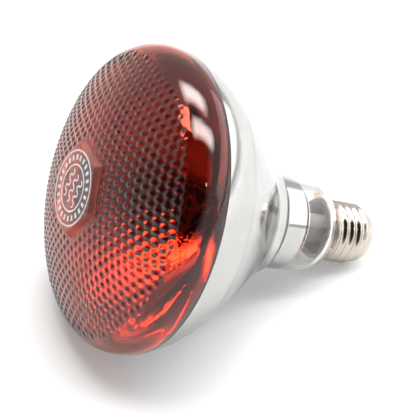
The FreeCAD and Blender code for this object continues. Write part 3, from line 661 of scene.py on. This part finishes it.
class Graph:
    """A material's node tree, with short calls for the nodes that the looks use."""

    def __init__(self, name):
        self.material = bpy.data.materials.new(name)
        self.material.use_nodes = True
        self.tree = self.material.node_tree
        self.shader = self.tree.nodes["Principled BSDF"]
        self.where = self.tree.nodes.new("ShaderNodeTexCoord").outputs["Object"]

    def link(self, source, target):
        self.tree.links.new(source, target)

    def put(self, socket, value):
        """Link a socket or set a plain value."""
        if isinstance(value, bpy.types.NodeSocket):
            self.link(value, socket)
        else:
            socket.default_value = value

    def noise(self, scale, detail, roughness=0.5):
        """A noise pattern: features per metre, octaves of detail, strength of the finer ones."""
        node = self.tree.nodes.new("ShaderNodeTexNoise")
        node.inputs["Scale"].default_value = scale
        node.inputs["Detail"].default_value = detail
        node.inputs["Roughness"].default_value = roughness
        self.link(self.where, node.inputs["Vector"])
        return node.outputs["Fac"]

    def spread(self, value, low, high, start=NOISE_LOW, end=NOISE_HIGH):
        """Map a pattern's values, from start to end, to a range of plain numbers."""
        node = self.tree.nodes.new("ShaderNodeMapRange")
        node.inputs["From Min"].default_value = start
        node.inputs["From Max"].default_value = end
        node.inputs["To Min"].default_value = low
        node.inputs["To Max"].default_value = high
        self.link(value, node.inputs["Value"])
        return node.outputs["Result"]

    def patches(self, pattern, first, second):
        """Two colours in patches that follow a noise pattern."""
        return self.blend(self.spread(self.noise(*pattern), 0.0, 1.0), first, second)

    def blend(self, share, first, second):
        node = self.tree.nodes.new("ShaderNodeMix")
        node.data_type = "RGBA"
        self.put(node.inputs["Factor"], share)
        self.put(node.inputs["A"], first)
        self.put(node.inputs["B"], second)
        return node.outputs["Result"]

    def attribute(self, name):
        node = self.tree.nodes.new("ShaderNodeAttribute")
        node.attribute_name = name
        return node.outputs["Fac"]

    def maths(self, operation, first, second):
        node = self.tree.nodes.new("ShaderNodeMath")
        node.operation = operation
        self.put(node.inputs[0], first)
        self.put(node.inputs[1], second)
        return node.outputs[0]

    def vector(self, operation, first, second):
        node = self.tree.nodes.new("ShaderNodeVectorMath")
        node.operation = operation
        self.put(node.inputs[0], first)
        self.put(node.inputs[1], second)
        return node

    def station(self):
        """Distance along the lamp's axis, in metres."""
        offset = self.vector("SUBTRACT", self.where, tuple(FRONT)).outputs["Vector"]
        return self.vector("DOT_PRODUCT", offset, tuple(AXIS)).outputs["Value"]

    def radius(self):
        """Distance from the lamp's axis, in metres."""
        offset = self.vector("SUBTRACT", self.where, tuple(FRONT)).outputs["Vector"]
        crossed = self.vector("CROSS_PRODUCT", offset, tuple(AXIS)).outputs["Vector"]
        return self.vector("LENGTH", crossed, (0.0, 0.0, 0.0)).outputs["Value"]

    def bump(self, height, depth):
        """Relief of a given depth in metres."""
        node = self.tree.nodes.new("ShaderNodeBump")
        node.inputs["Distance"].default_value = depth
        self.link(height, node.inputs["Height"])
        self.link(node.outputs["Normal"], self.shader.inputs["Normal"])

    def set(self, **values):
        """Link or set the shader's sockets and hand back the finished material."""
        names = {"color": "Base Color", "metal": "Metallic", "rough": "Roughness", "ior": "IOR",
                 "clear": "Transmission Weight"}
        for key, value in values.items():
            self.put(self.shader.inputs[names[key]], value)
        return self.material


def rgb(red, green, blue):
    return (red, green, blue, 1.0)


# Noise patterns: features per metre, octaves of detail, strength of the finer octaves.

SLOW_TINT = (28.0, 2.0)
CLEAR_RIPPLE = (90.0, 2.0)
LENS_RIPPLE = (110.0, 2.0)
AMBER_PATCHES = (130.0, 4.0)
TARNISH = (160.0, 5.0, 0.6)
BROWN_PATCHES = (330.0, 5.0, 0.7)
HAZE = (420.0, 4.0)
SCUFFS = (700.0, 4.0, 0.6)
CEMENT_GRAIN = (1400.0, 6.0, 0.7)

GLASS_IOR = 1.5
METAL_DETAIL = (4.0, 0.6)
MATTE_DETAIL = (6.0, 0.7)
MATTE_PATCH_SCALE, MATTE_PATCH_DETAIL = 0.3, 4.0
MATTE_SMOOTHER = 0.85


def metal(name, bright, dull, rough_low, rough_high, grain, depth):
    """Metal with patchy tarnish and a fine grain."""
    graph = Graph(name)
    fine = graph.noise(grain, *METAL_DETAIL)
    graph.bump(fine, depth)
    return graph.set(color=graph.patches(TARNISH, bright, dull), metal=1.0,
                     rough=graph.spread(fine, rough_low, rough_high))


def matte(name, first, second, rough, grain, depth):
    """Rough material with two colours in patches and a grainy relief."""
    graph = Graph(name)
    fine = graph.noise(grain, *MATTE_DETAIL)
    color = graph.patches((grain * MATTE_PATCH_SCALE, MATTE_PATCH_DETAIL), first, second)
    graph.bump(fine, depth)
    return graph.set(color=color, rough=graph.spread(fine, rough * MATTE_SMOOTHER, rough))


METALS = {
    # colour, tarnished colour, lowest and highest roughness, grains per metre, depth of the grain
    "mirror": (rgb(0.61, 0.61, 0.605), rgb(0.56, 0.56, 0.555), 0.02, 0.06, 300.0, 0.003 * MM),
    "shield": (rgb(0.88, 0.88, 0.89), rgb(0.74, 0.74, 0.75), 0.15, 0.35, 600.0, 0.01 * MM),
    "wire": (rgb(0.66, 0.63, 0.58), rgb(0.48, 0.45, 0.41), 0.25, 0.45, 600.0, 0.01 * MM),
    "tungsten": (rgb(0.28, 0.28, 0.30), rgb(0.16, 0.16, 0.18), 0.4, 0.6, 600.0, 0.01 * MM),
    "brass": (rgb(0.86, 0.64, 0.30), rgb(0.62, 0.42, 0.18), 0.2, 0.45, 600.0, 0.01 * MM),
    "solder": (rgb(0.70, 0.70, 0.71), rgb(0.45, 0.45, 0.46), 0.25, 0.5, 400.0, 0.06 * MM),
}
MATTES = {
    # colour, colour of the patches, roughness, grains per metre, depth of the grain
    "ink": (rgb(0.78, 0.76, 0.75), rgb(0.60, 0.58, 0.57), 0.55, 1500.0, 0.01 * MM),
    "stem": (rgb(0.47, 0.44, 0.41), rgb(0.34, 0.30, 0.27), 0.3, 260.0, 0.02 * MM),
    "seal": (rgb(0.05, 0.02, 0.015), rgb(0.10, 0.04, 0.03), 0.35, 900.0, 0.02 * MM),
    "black_glass": (rgb(0.012, 0.012, 0.014), rgb(0.03, 0.028, 0.03), 0.12, 500.0, 0.02 * MM),
}

LENS_TINT = rgb(0.50, 0.102, 0.052), rgb(0.41, 0.075, 0.038)
LENS_ROUGH = 0.012, 0.045
LENS_RIPPLE_DEPTH = 0.09 * MM
BAND_TINT = rgb(0.80, 0.10, 0.05)
BAND_EDGE = 26.8 * MM, 27.6 * MM
# Paler red painted on the badge's sloping sides: painted light, standing in for the red light that
# shines through them.
BADGE_PAINTED_LIGHT_TINT = rgb(0.97, 0.14, 0.07)
BADGE_HAZE = 0.55
# A darker line in the glass, from just before the seal out to the rim.
DARK_RIM_TINT = rgb(0.10, 0.012, 0.008)
DARK_RIM_EDGE = 29.4 * MM, 30.2 * MM


def lens_look():
    """Red pressed glass: uneven tint, ripples, a hazy badge edge painted a paler red as painted light,
    and a darker line at the seal.
    """
    graph = Graph("red_glass_look")
    station = graph.station()
    badge = graph.attribute("badge")
    color = graph.patches(SLOW_TINT, *LENS_TINT)
    color = graph.blend(graph.spread(station, 0.0, 1.0, *BAND_EDGE), color, BAND_TINT)
    # Painted light: the badge's sloping sides get a paler red so that they read bright.
    color = graph.blend(badge, color, BADGE_PAINTED_LIGHT_TINT)
    # Darker towards the rim, from just before the seal.
    color = graph.blend(graph.spread(station, 0.0, 1.0, *DARK_RIM_EDGE), color, DARK_RIM_TINT)
    haze = graph.spread(graph.noise(*HAZE), *LENS_ROUGH)
    rough = graph.maths("MAXIMUM", haze, graph.maths("MULTIPLY", badge, BADGE_HAZE))
    graph.bump(graph.noise(*LENS_RIPPLE), LENS_RIPPLE_DEPTH)
    return graph.set(color=color, rough=rough, ior=GLASS_IOR, clear=1.0)


CLEAR_TINT = rgb(0.78, 0.785, 0.775), rgb(0.75, 0.755, 0.74)
CLEAR_ROUGH = 0.009, 0.03
CLEAR_RIPPLE_DEPTH = 0.02 * MM
AMBER = rgb(0.42, 0.15, 0.03)
AMBER_RUN = 1.8 * MM
AMBER_SPREAD = 0.42, 0.56


def clear_look(name, stained):
    """Clear glass, and on the bulb an amber stain in patches beside the baked cement of the cap."""
    graph = Graph(name)
    color = graph.patches(SLOW_TINT, *CLEAR_TINT)
    if stained:
        near_cap = graph.spread(graph.station(), 0.0, 1.0, BULB_END - AMBER_RUN, BULB_END)
        patchy = graph.spread(graph.noise(*AMBER_PATCHES), 0.0, 1.0, *AMBER_SPREAD)
        color = graph.blend(graph.maths("MULTIPLY", near_cap, patchy), color, AMBER)
    graph.bump(graph.noise(*CLEAR_RIPPLE), CLEAR_RIPPLE_DEPTH)
    rough = graph.spread(graph.noise(*HAZE), *CLEAR_ROUGH)
    return graph.set(color=color, rough=rough, ior=GLASS_IOR, clear=1.0)


CEMENT_TINT = rgb(0.88, 0.84, 0.79), rgb(0.62, 0.54, 0.47)
BAKED_TINT = rgb(0.46, 0.20, 0.06), rgb(0.22, 0.09, 0.03)
BAKED_EDGE = SPIGOT_RADIUS, SPIGOT_RADIUS + 0.5 * MM
CEMENT_ROUGH = 0.8, 0.95
CEMENT_DEPTH = 0.1 * MM


def cement_look():
    """Grainy cement: grey-beige inside, baked orange-brown where it shows at the neck."""
    graph = Graph("cement_look")
    fine = graph.noise(*CEMENT_GRAIN)
    bead = graph.spread(graph.radius(), 0.0, 1.0, *BAKED_EDGE)
    color = graph.blend(bead, graph.patches(HAZE, *CEMENT_TINT), graph.patches(HAZE, *BAKED_TINT))
    graph.bump(fine, CEMENT_DEPTH)
    return graph.set(color=color, rough=graph.spread(fine, *CEMENT_ROUGH))


PLATE_TINT = rgb(0.60, 0.55, 0.49), rgb(0.45, 0.40, 0.34)
PLATE_ROUGH = 0.10, 0.22
PLATE_DEPTH = 0.004 * MM
BROWN = rgb(0.10, 0.045, 0.018)
BROWN_RUN = 4.2 * MM
BROWN_SHARES = 0.45, 1.0
BROWN_SPREAD = 0.4, 0.6
BROWN_ROUGHER = 0.25


def cap_look():
    """Nickel plate, scuffed on the thread and heat-tinted brown in patches near the neck."""
    graph = Graph("cap_look")
    fine = graph.noise(*SCUFFS)
    near_neck = graph.spread(graph.station(), 1.0, 0.0, SHELL_START + LIP_RUN, SHELL_START + BROWN_RUN)
    patchy = graph.spread(graph.noise(*BROWN_PATCHES), *BROWN_SHARES, *BROWN_SPREAD)
    tinted = graph.maths("MULTIPLY", near_neck, patchy)
    color = graph.blend(tinted, graph.patches(TARNISH, *PLATE_TINT), BROWN)
    scuffed = graph.spread(fine, *PLATE_ROUGH)
    rough = graph.maths("ADD", scuffed, graph.maths("MULTIPLY", tinted, BROWN_ROUGHER))
    graph.bump(fine, PLATE_DEPTH)
    return graph.set(color=color, metal=1.0, rough=rough)


looks = {
    "red_glass": lens_look(), "clear_glass": clear_look("clear_glass_look", False),
    "bulb_glass": clear_look("bulb_glass_look", True), "cement": cement_look(), "cap": cap_look(),
}
for look, values in METALS.items():
    looks[look] = metal(look + "_look", *values)
for look, values in MATTES.items():
    looks[look] = matte(look + "_look", *values)

NODE_LOOKS = {
    "red_glass": ["front_lens"],
    "bulb_glass": ["reflector_bulb"],
    "clear_glass": ["exhaust_tube", "glass_arbor", "lead_fuse"],
    "cement": ["basing_cement"],
    "cap": ["cap_shell"],
    "mirror": ["mirror_coating"],
    "shield": ["heat_shield"],
    "wire": ["lead_wire_left", "lead_wire_right", "filament_clamps", "centre_lead", "side_lead"],
    "tungsten": ["filament", "filament_supports"],
    "brass": ["centre_contact"],
    "solder": ["centre_solder", "side_solder"],
    "ink": ["badge_print"],
    "stem": ["glass_stem"],
    "seal": ["rim_seal"],
    "black_glass": ["cap_insulator"],
}


def dress_nodes():
    """Give every CAD node its material."""
    for look, names in NODE_LOOKS.items():
        for name in names:
            mesh = frame["nodes"][name].data
            mesh.materials.clear()
            mesh.materials.append(looks[look])


# Stage

LIGHT_DISTANCE = 1.0
STRIPS = {
    # direction of either end of a soft strip of light, steps along it, degrees over which it
    # fades, radiance
    "back": ((-0.08, 0.48, 0.87), (0.45, 0.23, 0.87), 6, 12.0, 6.8),
    "right": ((-0.13, 0.03, 0.99), (0.52, -0.24, 0.82), 7, 10.0, 8.5),
    "front": ((0.17, -0.70, 0.69), (0.17, -0.70, 0.69), 1, 1.6, 40.0),
}
PANELS = {
    # direction, width, height, radiance, the surfaces that show it
    "panel_right": ((0.93, -0.13, 0.30), 1.50, 0.50, 1.5, ("rough", "shiny", "clear")),
    "panel_top": ((-0.32, 0.25, 0.90), 0.25, 0.30, 68.0, ("clear",)),
    "panel_fill": ((0.80, -0.20, 0.57), 0.60, 0.50, 4.6, ("rough",)),
}
FLOOR_HALF = 2.5
FLOOR_COLOR = rgb(0.52, 0.52, 0.52)
FLOOR_ROUGH = 0.7
FLOOR_GLOW = 0.25
GLOW_COLOR = rgb(1.0, 1.0, 1.0)
ROOM_TINT = rgb(1.0, 1.0, 0.99)
ROOM_LIGHT = 0.85
ROOM_SHADE = 0.02
SHADE_SIDE = (-0.45, -0.42, 0.79)
SHADE_FROM = 0.52
SHADE_TO = 0.82


def add_panel(name, direction, width, height, radiance, surfaces):
    """A flat light of a given radiance, facing the lamp from a given direction."""
    data = bpy.data.lights.new(name, "AREA")
    data.shape = "RECTANGLE"
    data.size = width
    data.size_y = height
    data.energy = radiance * math.pi * width * height
    light = bpy.data.objects.new(name, data)
    light.visible_diffuse = "rough" in surfaces
    light.visible_glossy = "shiny" in surfaces
    light.visible_transmission = "clear" in surfaces
    outward = Vector(direction).normalized()
    centre = FRONT + AXIS * RIM_STATION
    turn = (-outward).to_track_quat("-Z", "Y").to_matrix().to_4x4()
    light.matrix_world = Matrix.Translation(centre + outward * LIGHT_DISTANCE) @ turn
    bpy.context.scene.collection.objects.link(light)


def add_room():
    """An even pale room, darker above the camera, with soft-edged strips of light."""
    world = bpy.data.worlds.new("room")
    world.use_nodes = True
    tree = world.node_tree
    background = tree.nodes["Background"]
    where = tree.nodes.new("ShaderNodeTexCoord").outputs["Generated"]

    def toward(direction, low, high, to_low, to_high):
        """A soft step from one value to another as the view nears a direction."""
        facing = tree.nodes.new("ShaderNodeVectorMath")
        facing.operation = "DOT_PRODUCT"
        facing.inputs[1].default_value = Vector(direction).normalized()
        tree.links.new(where, facing.inputs[0])
        share = tree.nodes.new("ShaderNodeMapRange")
        share.interpolation_type = "SMOOTHSTEP"
        share.inputs["From Min"].default_value = low
        share.inputs["From Max"].default_value = high
        share.inputs["To Min"].default_value = to_low
        share.inputs["To Max"].default_value = to_high
        tree.links.new(facing.outputs["Value"], share.inputs["Value"])
        return share.outputs["Result"]

    total = toward(SHADE_SIDE, SHADE_FROM, SHADE_TO, ROOM_LIGHT, ROOM_SHADE)
    for first, last, steps, faded, radiance in STRIPS.values():
        for step in range(steps):
            direction = Vector(first).slerp(Vector(last), step / max(steps - 1, 1))
            lobe = toward(direction, math.cos(math.radians(faded)), 1.0, 0.0, radiance)
            add = tree.nodes.new("ShaderNodeMath")
            tree.links.new(total, add.inputs[0])
            tree.links.new(lobe, add.inputs[1])
            total = add.outputs[0]
    tree.links.new(total, background.inputs["Strength"])
    background.inputs["Color"].default_value = ROOM_TINT
    bpy.context.scene.world = world


def add_stage():
    """A pale floor that glows a little, a pale room and panels of light."""
    mesh = bpy.data.meshes.new("floor")
    corners = [(-FLOOR_HALF, -FLOOR_HALF, 0.0), (FLOOR_HALF, -FLOOR_HALF, 0.0),
               (FLOOR_HALF, FLOOR_HALF, 0.0), (-FLOOR_HALF, FLOOR_HALF, 0.0)]
    mesh.from_pydata(corners, [], [(0, 1, 2, 3)])
    floor = bpy.data.objects.new("floor", mesh)
    bpy.context.scene.collection.objects.link(floor)
    graph = Graph("floor_look")
    graph.shader.inputs["Emission Color"].default_value = GLOW_COLOR
    graph.shader.inputs["Emission Strength"].default_value = FLOOR_GLOW
    mesh.materials.append(graph.set(color=FLOOR_COLOR, rough=FLOOR_ROUGH))
    add_room()
    for name, values in PANELS.items():
        add_panel(name, *values)
    bpy.context.scene.view_settings.view_transform = "Standard"


add_camera()
dress_nodes()
make_lens(looks["red_glass"])
make_bulb(looks["bulb_glass"])
make_mirror(looks["mirror"])
make_print(looks["ink"])
make_filament(looks["tungsten"])
make_cap(looks["cap"])
add_stage()
